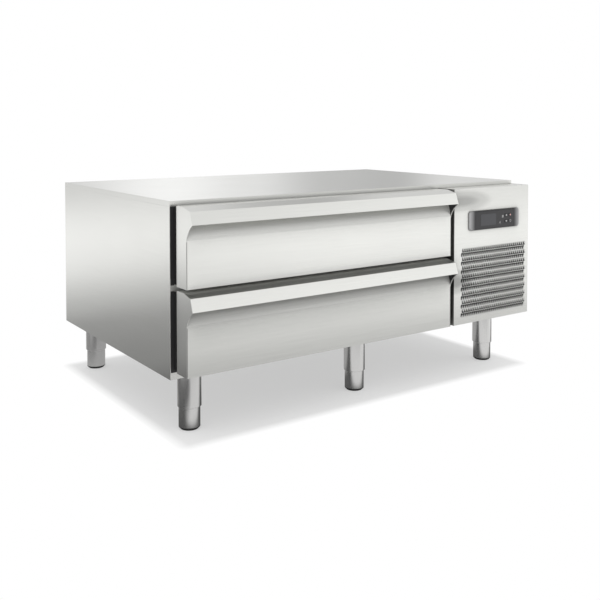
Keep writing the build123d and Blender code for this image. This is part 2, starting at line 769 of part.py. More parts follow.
def make_condenser():
    """Condenser behind the vents, its shroud, fan and motor."""
    x0, x1 = unit_x - coil_w / 2, unit_x + coil_w / 2
    z0 = unit_floor()
    z1 = z0 + coil_h
    y0 = front + coil_setback
    y1 = y0 + coil_t
    write("condenser_coil", finned_block(x0, x1, y0, y1, z0, z1, coil_fins))
    middle = (z0 + z1) / 2
    rear = y1 + shroud_depth
    mouth_r = fan_r + fan_tip_gap
    shroud = pan((x0, x1, y1, rear, z0, z1), shroud_sheet, Axis.Y, -1, 0)
    shroud -= rod(unit_x, y1, middle, mouth_r, 2 * shroud_depth, (0, 1, 0))
    shroud += ring(unit_x, rear - shroud_sheet, middle, mouth_r + shroud_sheet, mouth_r, shroud_lip,
                   (0, 1, 0))
    motor_y = rear + motor_setback
    shroud += fan_bracket(rear, motor_y + motor_l + arm_t, z0, z1)
    write("fan_shroud", shroud)
    write("condenser_fan", fan(unit_x, rear - fan_hub_l / 2, middle, fan_r, fan_hub_r, fan_hub_l))
    write("condenser_fan_motor", motor(unit_x, motor_y, middle, motor_r, motor_l, shaft_l))
    return x0 - header_r, (y0 + y1) / 2


def unit_floor():
    """Upper face of the unit tray's bottom."""
    return leg_height + sheet + tray_gap + tray_sheet


def make_unit_tray():
    """Folded tray that carries the cooling unit, on two low skids."""
    x0, x1 = partition_right + tray_margin, right - sheet - tray_margin
    y0, y1 = front + tray_margin, back - 2 * tray_margin
    z0 = leg_height + sheet + tray_gap
    tray = pan((x0, x1, y0, y1, z0, z0 + tray_h), tray_sheet, Axis.Z, 1, 0)
    for x in (x0 + tray_margin, x1 - 2 * tray_margin):
        tray += block(x, x + tray_margin, y0 + tray_margin, y1 - tray_margin, leg_height + sheet, z0)
    write("unit_tray", tray)


def compressor_can(y, low, belt, high):
    """Deep-drawn lower and upper shells with the welded seam between them."""
    rim, upper = compressor_r + belt_out, compressor_r - sheet
    profile = [(0, low), (compressor_r - compressor_heel, low), (compressor_r, low + compressor_heel),
               (compressor_r, belt), (rim, belt), (rim, belt + belt_h), (upper, belt + belt_h)]
    for step in range(dome_steps + 1):
        turn = radians(step * 90 / dome_steps)
        profile.append((upper - compressor_dome * (1 - cos(turn)), high - compressor_dome * (1 - sin(turn))))
    outline = make_face(Polyline(*profile, (0, high), close=True))
    return Pos(unit_x, y, 0) * revolve(Plane.XZ * outline, Axis.Z)


def rubber_mount(x, y, z):
    """Tapered rubber foot of the compressor, below a height."""
    foot = rod(x, y, z - mount_h, mount_r, mount_h, (0, 0, 1))
    return chamfer(foot.faces().sort_by(Axis.Z)[-1].edges(), mount_h - sheet, mount_taper)


def make_compressor():
    """Hermetic compressor: welded can on a base plate with rubber mounts."""
    y = front + compressor_setback
    z = unit_floor() + mount_h
    low = z + plate_t
    belt = low + compressor_h * belt_share
    span = mount_span + mount_r + mount_margin
    plate = block(unit_x - span, unit_x + span, y - span, y + span, z, low)
    plate = chamfer(plate.edges().filter_by(Axis.Z), mount_r)
    corners = [(unit_x + a * mount_span, y + b * mount_span) for a in (-1, 1) for b in (-1, 1)]
    box = block(unit_x - terminal_w / 2, unit_x + terminal_w / 2, y - compressor_r - terminal_out,
                y - compressor_r / 2, low + terminal_lift, low + terminal_lift + terminal_h)
    box = chamfer(box.faces().sort_by(Axis.Y)[0].edges(), terminal_round)
    body = compressor_can(y, low, belt, z + compressor_h) + plate + box
    stub_z = belt + stub_rise
    for direction in ((-1, 0, 0), (0, 1, 0)):
        body += rod(unit_x, y, stub_z, pipe_r + sheet, compressor_r + stub_l, direction)
    write("compressor", body)
    write("compressor_mounts", group(*[rubber_mount(cx, cy, z) for cx, cy in corners]))
    return y, stub_z


def pipe(points):
    """A tube along straight runs, each corner taken in two equal mitres."""
    bends = [points[0]]
    for before, corner, after in zip(points, points[1:], points[2:]):
        for end in (before, after):
            reach = Vector(*end) - Vector(*corner)
            bends.append(Vector(*corner) + reach.normalized() * pipe_bend)
    path = Polyline(*bends, points[-1])
    return sweep(Plane(path @ 0, z_dir=path % 0) * Circle(pipe_r), path, transition=Transition.RIGHT)


def make_pipes(compressor_y, top, coil_x, coil_y):
    """Discharge, liquid and suction pipes, and the filter drier."""
    y_evap = chamber_back - evap_depth / 2
    wall_x = partition_right + pipe_wall_gap
    drier_y = compressor_y + compressor_r + drier_gap
    line_x = partition_right + drier_r + drier_wall_gap
    drier = rod(line_x, drier_y, pipe_z, drier_r, drier_l, (0, 1, 0))
    write("filter_drier", chamfer(drier.edges().filter_by(GeomType.CIRCLE), drier_r - pipe_r))
    can_x = unit_x - compressor_r - stub_l
    discharge = pipe([(can_x, compressor_y, top), (wall_x, compressor_y, top),
                      (wall_x, coil_y, top), (coil_x, coil_y, top)])
    liquid = pipe([(coil_x, coil_y, pipe_z), (line_x, coil_y, pipe_z), (line_x, drier_y, pipe_z)])
    spread = 1.5 * pipe_r
    to_evap = pipe([(line_x, drier_y + drier_l, pipe_z), (line_x, y_evap - spread, pipe_z),
                    (evap_coil_right, y_evap - spread, pipe_z)])
    can_y = compressor_y + compressor_r + stub_l
    suction = pipe([(unit_x, can_y, top), (unit_x, y_evap + spread, top),
                    (unit_x, y_evap + spread, pipe_z), (evap_coil_right, y_evap + spread, pipe_z)])
    write("refrigerant_pipes", group(discharge, liquid, to_evap, suction))


def evaporator_slots(z0):
    """Air slots through the front of the evaporator cover, from its left end to the fan."""
    first = evap_left + evap_slot_left
    pitch = (evap_fan_left - first) / evap_slot_columns
    length = pitch - evap_slot_gap
    slots = []
    for column in range(evap_slot_columns):
        for row in range(evap_slot_rows):
            z = z0 + evap_slot_low + row * evap_slot_pitch_z
            slots.append(slot(first + column * pitch + length / 2, evap_front, z, length, evap_slot_h))
    return slots


def make_evaporator():
    """Evaporator cassette at the back of the chamber: coil, cover, fan and motor."""
    z0, z1 = chamber_low + evap_inset / 2, chamber_high - evap_inset / 2
    middle = (z0 + z1) / 2
    cover = pan((evap_left, evap_right, evap_front, chamber_back, z0, z1), sheet, Axis.Y, 1, 0)
    cover -= rod(evap_fan_mid, evap_front - sheet, middle, evap_fan_r + fan_tip_gap, 3 * sheet, (0, 1, 0))
    write("evaporator_cover", cover - evaporator_slots(z0) - pipe_way())
    coil_low = z0 + sheet + evap_coil_lift
    write("evaporator_coil", finned_block(evap_coil_left, evap_coil_right, chamber_back - evap_coil_t,
                                          chamber_back, coil_low, coil_low + evap_coil_h, evap_fins))
    rotor_y = evap_front + evap_fan_setback
    write("evaporator_fan", fan(evap_fan_mid, rotor_y, middle, evap_fan_r, evap_hub_r, evap_hub_r))
    motor_y = rotor_y + evap_hub_r + evap_motor_gap
    write("evaporator_fan_motor", motor(evap_fan_mid, motor_y, middle, evap_motor_r, chamber_back - motor_y,
                                        evap_motor_gap + evap_hub_r / 3))


def make_unit_fittings():
    """Evaporation tray, electrical box and the gland of the supply lead."""
    x0, x1 = partition_right + pan_margin, right - pan_margin
    y1 = back - pan_setback
    z0 = unit_floor()
    write("evaporation_tray", pan((x0, x1, y1 - pan_l, y1, z0, z0 + pan_h), pan_wall, Axis.Z, 1, pan_round))
    y0 = front + box_setback
    box = block(unit_x - box_w / 2, unit_x + box_w / 2, y0, y0 + box_d, body_top - box_h, body_top)
    write("electrical_box", fillet(box.edges().filter_by(Axis.Z), box_round))
    x, z = right - gland_x, leg_height + gland_z
    nut = extrude(Plane((x, back, z), z_dir=(0, 1, 0)) * RegularPolygon(gland_r * 1.25, 6), gland_nut)
    neck = rod(x, back + gland_nut, z, gland_r, gland_neck, (0, 1, 0))
    neck = chamfer(neck.faces().sort_by(Axis.Y)[-1].edges(), gland_round)
    bore = rod(x, back + gland_nut / 2, z, gland_r / 2, gland_nut + gland_neck, (0, 1, 0))
    write("cable_gland", nut + neck - bore)


make_worktop()
make_side_panels()
make_back_panel()
strip_top = make_base_panel()
make_insulation()
make_breaker(strip_top)
make_drawers()
make_legs()
make_technical_front()
make_controller()
coil_x, coil_y = make_condenser()
make_unit_tray()
compressor_y, stub_z = make_compressor()
make_pipes(compressor_y, stub_z, coil_x, coil_y)
make_evaporator()
make_unit_fittings()
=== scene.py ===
import json
import math

import bmesh
import bpy
from mathutils import Matrix, Vector


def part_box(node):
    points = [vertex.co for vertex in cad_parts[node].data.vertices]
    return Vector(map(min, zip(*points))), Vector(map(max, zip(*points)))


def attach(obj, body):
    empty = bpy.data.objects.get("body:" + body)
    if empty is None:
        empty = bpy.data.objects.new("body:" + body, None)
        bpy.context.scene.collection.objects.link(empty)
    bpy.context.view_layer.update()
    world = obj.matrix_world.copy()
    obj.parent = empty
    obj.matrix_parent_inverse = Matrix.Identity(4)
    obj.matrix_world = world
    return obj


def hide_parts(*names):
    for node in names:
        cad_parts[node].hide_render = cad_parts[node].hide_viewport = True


# Chef base freezer. Metres: X runs to the right, Y to the back, Z up from the floor.
# The CAD nodes carry the object. This script gives them their materials, and adds the punched
# field in full, the controller's marks, the seams and covers, the floor, the light and the camera.

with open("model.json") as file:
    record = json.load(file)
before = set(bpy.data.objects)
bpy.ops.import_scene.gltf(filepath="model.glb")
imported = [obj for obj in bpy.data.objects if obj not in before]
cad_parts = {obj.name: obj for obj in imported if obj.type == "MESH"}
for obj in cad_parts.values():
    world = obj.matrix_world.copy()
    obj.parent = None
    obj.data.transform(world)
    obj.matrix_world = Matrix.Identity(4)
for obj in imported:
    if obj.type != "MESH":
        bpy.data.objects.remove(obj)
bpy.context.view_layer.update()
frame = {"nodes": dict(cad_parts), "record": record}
NODES = frame["nodes"]
mm = 0.001

# The photograph's camera: it looks almost level, and the lens is shifted down to the cabinet.
CAMERA_PLACE = (-1.4642, -2.0948, 0.7637)
CAMERA_YAW = 34.98
CAMERA_DOWN = 2.0
FOCAL_PX = 826.96
SHIFT_PX = -150.7
FRAME_PX = 600.0
SENSOR = 36.0
CLIP_END = 100.0


def make_camera():
    """The camera at the photograph's viewing angle."""
    data = bpy.data.cameras.new("camera")
    data.sensor_width = SENSOR
    data.lens = FOCAL_PX / FRAME_PX * SENSOR
    data.shift_y = SHIFT_PX / FRAME_PX
    data.clip_end = CLIP_END
    camera = bpy.data.objects.new("camera", data)
    camera.location = CAMERA_PLACE
    camera.rotation_euler = (math.radians(90.0 - CAMERA_DOWN), 0.0, -math.radians(CAMERA_YAW))
    bpy.context.scene.collection.objects.link(camera)
    bpy.context.scene.camera = camera


BEVEL_SAMPLES = 4
# Noise that runs evenly, or that is stretched into grain along one axis.
EVEN = (1, 1, 1)
STRETCH = {"x": (0.012, 1, 1), "y": (1, 0.012, 1), "z": (1, 1, 0.012)}
# Detail and roughness of the noise.
GRAINY = (3.0, 0.6)
SMUDGED = (3.0, 0.55)
SOFT = (2.0, 0.5)
SHADE_PLACES = (0.3, 0.7)     # where on the noise a colour's darker and lighter shades lie


class Graph:
    """A material or world node tree, with short ways to add and join nodes."""

    def __init__(self, tree):
        self.tree = tree

    def add(self, kind, settings=None, **inputs):
        """A new node. A keyword names one of its inputs, or gives its number, as i0 does."""
        node = self.tree.nodes.new(kind)
        for name, value in (settings or {}).items():
            setattr(node, name, value)
        for name, value in inputs.items():
            self.put(node.inputs[int(name[1:]) if name[1:].isdigit() else name], value)
        return node

    def put(self, socket, value):
        if isinstance(value, bpy.types.NodeSocket):
            self.tree.links.new(value, socket)
        else:
            socket.default_value = value

    def maths(self, operation, a, b=0.0, clamp=False):
        settings = {"operation": operation, "use_clamp": clamp}
        return self.add("ShaderNodeMath", settings, i0=a, i1=b).outputs[0]

    def fade(self, value, start, reach):
        """0 up to start, 1 from reach beyond it, and even between."""
        return self.maths("DIVIDE", self.maths("SUBTRACT", value, start), reach, clamp=True)

    def length(self, a, b):
        """The length of a flat vector."""
        squares = [self.maths("MULTIPLY", part, part) for part in (a, b)]
        return self.maths("SQRT", self.maths("ADD", *squares))

    def ramp(self, value, stops):
        node = self.add("ShaderNodeValToRGB")
        node.color_ramp.interpolation = "EASE"
        self.put(node.inputs[0], value)
        elements = node.color_ramp.elements
        while len(elements) < len(stops):
            elements.new(0.5)
        for element, (place, colour) in zip(elements, stops):
            element.position = place
            element.color = colour if len(colour) == 4 else (*colour, 1.0)
        return node.outputs["Color"]

    def spread(self, value, low, high):
        """Map a 0 to 1 value to a range."""
        node = self.add("ShaderNodeMapRange", Value=value)
        node.inputs["To Min"].default_value = low
        node.inputs["To Max"].default_value = high
        return node.outputs["Result"]

    def mix(self, share, a, b, blend="MIX"):
        settings = {"data_type": "RGBA", "blend_type": blend}
        return self.add("ShaderNodeMix", settings, i0=share, i6=a, i7=b).outputs[2]

    def mix_shaders(self, share, a, b):
        return self.add("ShaderNodeMixShader", i0=share, i1=a.outputs[0], i2=b.outputs[0])

    def split(self, kind, output):
        """X, Y and Z of what a coordinate or geometry node gives."""
        vector = self.add(kind).outputs[output]
        return self.add("ShaderNodeSeparateXYZ", Vector=vector).outputs

    def noise(self, scale, stretch=EVEN, texture=GRAINY):
        """Noise that is fixed to the piece."""
        place = self.add("ShaderNodeTexCoord").outputs["Object"]
        mapping = self.add("ShaderNodeMapping", Vector=place, Scale=stretch)
        detail, roughness = texture
        return self.add("ShaderNodeTexNoise", Vector=mapping.outputs[0], Scale=scale,
                        Detail=detail, Roughness=roughness).outputs[0]

    def relief(self, shader, height, strength, depth, bevel=0.0):
        """Fine relief on a shader, over edges that a bevel softens."""
        bump = self.add("ShaderNodeBump", Height=height, Strength=strength, Distance=depth)
        if bevel:
            edge = self.add("ShaderNodeBevel", {"samples": BEVEL_SAMPLES}, Radius=bevel)
            self.put(bump.inputs["Normal"], edge.outputs[0])
        self.put(shader.inputs["Normal"], bump.outputs[0])


def grey(value):
    return (value, value, value, 1.0)


def tones(stops):
    return [(place, grey(value)) for place, value in stops]


def shades(colour, down, up):
    """Ramp stops from a darker to a lighter shade of a colour."""
    darker = tuple(c * (1.0 - down) for c in colour)
    lighter = tuple(min(1.0, c * (1.0 + up)) for c in colour)
    return list(zip(SHADE_PLACES, (darker, lighter)))


def shader_of(material):
    return material.node_tree.nodes["Principled BSDF"]


def new_material(name):
    material = bpy.data.materials.new(name)
    material.use_nodes = True
    return material, Graph(material.node_tree), shader_of(material)


# Brushed sheet: the scales of its noise, and what they do.
GRAIN_FINE = 900.0
GRAIN_BROAD = 220.0
SMUDGE_SCALE = 7.0
BROAD_SHARE = 0.25
GRAIN_ROUGH = 0.04            # the roughness varies by this much with the grain
SMUDGE_ROUGH = 0.03           # and by this much with the smudges
LIGHTER_SHARE = 0.6           # the grain lightens the sheet by less than it darkens it
SHEET_BEVEL = 0.8 * mm
SHEET_RELIEF = (0.05, 0.3 * mm)    # strength and depth

# Inner corners are duller than open faces, and painted darker as shade. Each list gives a value by
# how open a place is, from 0 to 1, and the reach says how far away a wall still counts.
CORNER_SAMPLES = 16
CORNER_REACH = 0.045
LEG_REACH = 0.01
CORNER_SHADE_TONES = [(0.25, 0.80), (0.95, 1.0)]
CORNER_METAL = [(0.25, 0.8), (0.7, 1.0)]
CORNER_DULL = 0.36
DULL_FROM, DULL_TO = 0.3, 0.97
UPWARD_GAIN = 2.0             # faces that look up mirror fully, also in corners

# Inside the handle scoops the sheet is dull and painted darker, as shade under the lips: it shows
# diffuse light and mirrors little.
DRAWER_REACH = 0.08
LOW_DRAWER_REACH = 0.10
SCOOP_SHADE_TONES = [(0.30, 0.92), (0.50, 0.78), (0.70, 0.62), (0.85, 0.74), (0.97, 1.0)]
# the lower drawer's scoop is painted darker still, as deeper shade
LOW_SCOOP_SHADE_TONES = [(0.30, 0.70), (0.45, 0.66), (0.62, 0.54), (0.75, 0.48), (0.90, 0.62),
                   (0.98, 1.0)]
SCOOP_METAL = [(0.40, 0.15), (0.70, 0.85), (0.85, 1.0)]
SCOOP_DULL = 0.6
# The technical front is painted darker as shade wherever walls or parts lie near it.
PANEL_REACH = 0.12
PANEL_SHADE_TONES = [(0.2, 0.12), (0.5, 0.38), (0.8, 0.66), (0.93, 0.86), (0.99, 1.0)]


def brushed(name, colour, along="x", rough=0.20, grain=0.03, bevel=SHEET_BEVEL,
            corners=CORNER_SHADE_TONES, metal=CORNER_METAL, dull=CORNER_DULL, reach=CORNER_REACH):
    """Brushed sheet: fine grain along one axis, faint smudges, soft edges, inner corners dull and
    painted darker as shade.
    """
    material, g, shader = new_material(name)
    fine = g.noise(GRAIN_FINE, STRETCH[along])
    broad = g.noise(GRAIN_BROAD, STRETCH[along], SOFT)
    smudge = g.noise(SMUDGE_SCALE, EVEN, SMUDGED)
    streak = g.mix(BROAD_SHARE, fine, broad)
    sheet = g.ramp(streak, shades(colour, grain, grain * LIGHTER_SHARE))
    corner = g.add("ShaderNodeAmbientOcclusion", {"samples": CORNER_SAMPLES},
                   Distance=reach).outputs["AO"]
    # painted shade: the colour turns darker where walls lie near
    shadow = g.ramp(corner, tones(corners))
    g.put(shader.inputs["Base Color"], g.mix(1.0, sheet, shadow, "MULTIPLY"))
    facing = g.split("ShaderNodeNewGeometry", "Normal")
    upward = g.maths("MULTIPLY", facing[2], UPWARD_GAIN, clamp=True)
    metallic = g.maths("MAXIMUM", g.ramp(corner, tones(metal)), upward)
    g.put(shader.inputs["Metallic"], metallic)
    varied = g.maths("ADD", g.spread(streak, rough - GRAIN_ROUGH, rough + GRAIN_ROUGH),
                     g.spread(smudge, -SMUDGE_ROUGH, SMUDGE_ROUGH))
    blur = g.ramp(corner, tones([(DULL_FROM, dull), (DULL_TO, 0.0)]))
    g.put(shader.inputs["Roughness"], g.maths("ADD", varied, blur))
    g.relief(shader, fine, *SHEET_RELIEF, bevel)
    return material


# Moulded pieces: broad clouds that vary the roughness by this much, and a pebble relief.
CLOUD_SCALE = 14.0
CLOUD_ROUGH = 0.06
PEBBLE_SHARE = 0.5
PEBBLE_STRENGTH = 0.25


def moulded(name, colour, rough=0.45, speckle=0.12, scale=500.0, coat=0.0, depth=0.2 * mm):
    """Plastic, rubber, paint, foam or board: fine pebble grain and slight tone changes."""
    material, g, shader = new_material(name)
    pebble = g.noise(scale)
    cloud = g.noise(CLOUD_SCALE, EVEN, SOFT)
    tone = g.ramp(g.mix(PEBBLE_SHARE, pebble, cloud), shades(colour, speckle, speckle))
    g.put(shader.inputs["Base Color"], tone)
    g.put(shader.inputs["Roughness"], g.spread(cloud, rough - CLOUD_ROUGH, rough + CLOUD_ROUGH))
    shader.inputs["Coat Weight"].default_value = coat
    g.relief(shader, pebble, PEBBLE_STRENGTH, depth)
    return material


# The controller's bezel fades from the dark band round the window to silver ends.
BEZEL_SILVER = (0.50, 0.50, 0.505)
BEZEL_DARK = (0.020, 0.019, 0.021, 1.0)
BEZEL_MARGIN = 1.5 * mm
BEZEL_BLEND = 22.0 * mm
BEZEL_GRAIN = 700.0
BEZEL_DARKER = 0.07
BEZEL_METAL = 0.8
BEZEL_ROUGH = (0.34, 0.44)
BEZEL_RELIEF = (0.1, 0.2 * mm, 1.2 * mm)    # strength, depth and bevel


def bezel_material():
    """Moulded bezel: silver ends, and a dark band round the window."""
    material, g, shader = new_material("bezel")
    low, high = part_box("display_window")
    middle, half = (low.x + high.x) / 2, (high.x - low.x) / 2 + BEZEL_MARGIN
    x = g.split("ShaderNodeTexCoord", "Object")[0]
    end = g.fade(g.maths("ABSOLUTE", g.maths("SUBTRACT", x, middle)), half, BEZEL_BLEND)
    grain = g.noise(BEZEL_GRAIN, STRETCH["x"])
    silver = g.ramp(grain, shades(BEZEL_SILVER, BEZEL_DARKER, 0.0))
    g.put(shader.inputs["Base Color"], g.mix(end, BEZEL_DARK, silver))
    g.put(shader.inputs["Metallic"], g.maths("MULTIPLY", end, BEZEL_METAL))
    g.put(shader.inputs["Roughness"], g.spread(grain, *BEZEL_ROUGH))
    g.relief(shader, grain, *BEZEL_RELIEF)
    return material


# Painted shade beside the ends of the handle lips: middle (x, z), reach (x, z), tone.
LIP_END_SHADE = [((0.315, 0.527), (0.135, 0.036), 0.58), ((0.285, 0.292), (0.085, 0.042), 0.50)]
LIP_END_SHADE_CORE = 0.2             # the full tone reaches this far, as a share of the reach
LIP_END_SHADE_HALF = 0.6             # and half of it this far


def shade_beside_lips(material):
    """Paint two soft patches of shade on the technical front, beside the lips."""
    g, shader = Graph(material.node_tree), shader_of(material)
    place = g.split("ShaderNodeTexCoord", "Object")
    colour = shader.inputs["Base Color"].links[0].from_socket
    for middle, reach, tone in LIP_END_SHADE:
        steps = [g.maths("DIVIDE", g.maths("SUBTRACT", place[axis], centre), size)
                 for axis, centre, size in zip((0, 2), middle, reach)]
        stops = [(LIP_END_SHADE_CORE, tone), (LIP_END_SHADE_HALF, (tone + 1.0) / 2), (1.0, 1.0)]
        colour = g.mix(1.0, colour, g.ramp(g.length(*steps), tones(stops)), "MULTIPLY")
    g.put(shader.inputs["Base Color"], colour)


FOOT_PAD_H = 7.0 * mm
FOOT_PAD_TONE = 0.03
FOOT_PAD_ROUGH = 0.3


def pad_foot(material):
    """Let a brushed lower tube end in a black moulded pad."""
    g, shader = Graph(material.node_tree), shader_of(material)
    height = g.split("ShaderNodeTexCoord", "Object")[2]
    pad = g.maths("LESS_THAN", height, FOOT_PAD_H)
    colour = shader.inputs["Base Color"].links[0].from_socket
    rough = shader.inputs["Roughness"].links[0].from_socket
    g.put(shader.inputs["Base Color"], g.mix(pad, colour, grey(FOOT_PAD_TONE)))
    g.put(shader.inputs["Metallic"], g.maths("SUBTRACT", 1.0, pad))
    g.put(shader.inputs["Roughness"],
          g.maths("ADD", rough, g.maths("MULTIPLY", pad, FOOT_PAD_ROUGH)))


STEEL = (0.83, 0.832, 0.803)
LEG_LOOK = {"colour": (0.80, 0.795, 0.785), "along": "z", "rough": 0.22, "reach": LEG_REACH}
BRUSHED = {
    "brushed_stainless": {"colour": STEEL},
    "brushed_stainless_y": {"colour": STEEL, "along": "y"},
    "brushed_stainless_z": LEG_LOOK,
    "foot": LEG_LOOK,
    "drawer_stainless": {"colour": STEEL, "corners": SCOOP_SHADE_TONES, "metal": SCOOP_METAL,
                         "dull": SCOOP_DULL, "reach": DRAWER_REACH},
    "low_drawer_stainless": {"colour": STEEL, "corners": LOW_SCOOP_SHADE_TONES, "metal": SCOOP_METAL,
                             "dull": SCOOP_DULL, "reach": LOW_DRAWER_REACH},
    "panel_stainless": {"colour": STEEL, "corners": PANEL_SHADE_TONES, "reach": PANEL_REACH},
    "galvanised_steel": {"colour": (0.60, 0.62, 0.63), "rough": 0.45, "grain": 0.14},
    "zinc_plated_steel": {"colour": (0.68, 0.69, 0.68), "along": "y", "rough": 0.30,
                          "grain": 0.08},
    "liner_steel": {"colour": (0.76, 0.76, 0.75), "rough": 0.36, "grain": 0.06},
    "coil_aluminium": {"colour": (0.74, 0.76, 0.78), "along": "z", "rough": 0.38, "grain": 0.12,
                       "bevel": 0.2 * mm},
    "copper_pipe": {"colour": (0.80, 0.42, 0.26), "along": "y", "rough": 0.25, "grain": 0.12,
                    "bevel": 0.2 * mm},
}
MOULDED = {
    "core_board": {"colour": (0.50, 0.37, 0.24), "rough": 0.8, "speckle": 0.25, "scale": 300.0},
    "foam": {"colour": (0.80, 0.70, 0.48), "rough": 0.9, "speckle": 0.15, "scale": 700.0,
             "depth": 0.6 * mm},
    "black_plastic": {"colour": (0.022, 0.022, 0.023), "rough": 0.5},
    "black_rubber": {"colour": (0.018, 0.018, 0.018), "rough": 0.7},
    "dark_window": {"colour": (0.014, 0.013, 0.015), "rough": 0.30, "speckle": 0.05,
                    "scale": 200.0, "coat": 0.25, "depth": 0.02 * mm},
    "display_glass": {"colour": (0.052, 0.053, 0.059), "rough": 0.34, "speckle": 0.05,
                      "scale": 200.0, "coat": 0.2, "depth": 0.02 * mm},
    "key_plastic": {"colour": (0.030, 0.030, 0.033), "rough": 0.42, "speckle": 0.10,
                    "scale": 600.0},
    "pale_print": {"colour": (0.68, 0.68, 0.68), "rough": 0.50, "speckle": 0.06, "scale": 600.0},
    "seam_shadow": {"colour": (0.12, 0.12, 0.115), "rough": 0.6, "speckle": 0.15},
    "red_lens": {"colour": (0.86, 0.50, 0.48), "rough": 0.25, "speckle": 0.06, "scale": 600.0,
                 "coat": 0.4},
    # a near-black pad of painted shade behind the punched field
    "shade_pad": {"colour": (0.012, 0.012, 0.012), "rough": 0.95, "speckle": 0.5,
                   "scale": 900.0, "depth": 0.8 * mm},
    "motor_steel": {"colour": (0.10, 0.105, 0.11), "rough": 0.4, "speckle": 0.10,
                    "scale": 600.0},
    "compressor_paint": {"colour": (0.02, 0.02, 0.021), "rough": 0.28, "speckle": 0.08,
                         "scale": 350.0, "coat": 0.3},
    "white_plastic": {"colour": (0.78, 0.78, 0.76), "rough": 0.35, "speckle": 0.03,
                      "scale": 400.0},
    "grey_plastic": {"colour": (0.20, 0.21, 0.22), "rough": 0.42, "speckle": 0.06,
                     "scale": 400.0},
}
# Nodes that look different from the rest of their slot.
OWN_LOOKS = {"side_panel_left": "brushed_stainless_y", "side_panel_right": "brushed_stainless_y",
             "leg_tubes": "brushed_stainless_z", "base_panel": "brushed_stainless",
             "controller_bezel": "bezel", "upper_drawer_skin": "drawer_stainless",
             "lower_drawer_skin": "low_drawer_stainless"}


def make_materials():
    """A procedural material for each slot of the record, and for each look of its own."""
    made = {name: brushed(name, **look) for name, look in BRUSHED.items()}
    made.update({name: moulded(name, **look) for name, look in MOULDED.items()})
    made["bezel"] = bezel_material()
    shade_beside_lips(made["panel_stainless"])
    pad_foot(made["foot"])
    return made


def dress(materials):
    """Give every carried-over CAD node its material."""
    slots = {s["node"]: s["material_slot"] for s in frame["record"]["subparts"]}
    for name, node in NODES.items():
        slot = "foot" if name.startswith("foot_") else OWN_LOOKS.get(name, slots[name])
        node.data.materials.clear()
        node.data.materials.append(materials[slot])


# The floor. Its shadow ends a little outside the casing.
FLOOR_HALF = 30.0
FLOOR_DROP = 0.4 * mm
FLOOR_TONE = 0.82
SHADOW_HALF_X = 0.575
SHADOW_MID_Y = 0.02
SHADOW_HALF_Y = 0.385
SHADOW_FADE = 0.035
SHADOW_SHARE = 0.47           # the plain white mixed into the floor below the cabinet
# What polished faces mirror of the floor in front of the cabinet, by distance and by X.
FRONT_TONES = [(0.01, 0.50), (0.03, 0.15), (0.055, 0.12), (0.07, 0.88), (0.12, 0.88),
               (0.16, 0.62), (0.205, 0.90), (0.27, 0.95), (0.345, 0.98), (0.455, 1.12),
               (0.55, 1.16), (0.66, 1.05), (0.81, 0.88), (1.0, 0.80)]
FRONT_REACH = 5.4
FRONT_DRIFT = [(0.0, 0.80), (0.40, 0.86), (0.75, 1.0)]
DRIFT_START = -0.3
DRIFT_REACH = 2.0
# What they mirror of the floor at the left, by depth.
SIDE_TONES = [(0.0, 0.10), (0.06, 0.14), (0.11, 0.27), (0.19, 0.34), (0.24, 0.52), (0.29, 0.68),
              (0.34, 0.86), (0.40, 0.97), (0.52, 1.04), (0.66, 1.0), (0.80, 0.90), (1.0, 0.72)]
SIDE_START = -0.4
SIDE_REACH = 6.6
SIDE_FADE = 0.15
# The dark at the left turns plain this far out, where Y is below the depth, and this far forward.
DARK_OUT = 1.0
DARK_OUT_DEPTH = 0.5
DARK_DEPTH_FADE = 0.25
DARK_FORWARD = 0.68
PLAIN_TONE = 0.86


def outside(g, value, half):
    """How far a floor coordinate lies outside a half size."""
    return g.maths("MAXIMUM", g.maths("SUBTRACT", g.maths("ABSOLUTE", value), half), 0.0)


def mirrored_floor(g, x, y):
    """The tone of the floor as polished faces show it."""
    left, ahead = g.maths("MULTIPLY", x, -1.0), g.maths("MULTIPLY", y, -1.0)
    front = g.ramp(g.fade(ahead, 0.0, FRONT_REACH), tones(FRONT_TONES))
    drift = g.ramp(g.fade(x, DRIFT_START, DRIFT_REACH), tones(FRONT_DRIFT))
    front = g.mix(1.0, front, drift, "MULTIPLY")
    side = g.ramp(g.fade(y, SIDE_START, SIDE_REACH), tones(SIDE_TONES))
    shallow = g.fade(ahead, -DARK_OUT_DEPTH, DARK_DEPTH_FADE)
    far_out = g.maths("MULTIPLY", g.fade(left, DARK_OUT, SIDE_FADE), shallow)
    forward = g.fade(ahead, DARK_FORWARD, SIDE_FADE)
    side = g.mix(g.maths("MAXIMUM", forward, far_out), side, grey(PLAIN_TONE))
    return g.mix(g.fade(left, SHADOW_HALF_X, SIDE_FADE), front, side)


def by_ray(g, plain, mirrored, seen):
    """A shader for each kind of ray: plain ones, those off polished faces, and the camera's."""
    path = g.add("ShaderNodeLightPath").outputs
    glossy = g.maths("MAXIMUM", path["Is Glossy Ray"], path["Is Transmission Ray"])
    return g.mix_shaders(path["Is Camera Ray"], g.mix_shaders(glossy, plain, mirrored), seen)


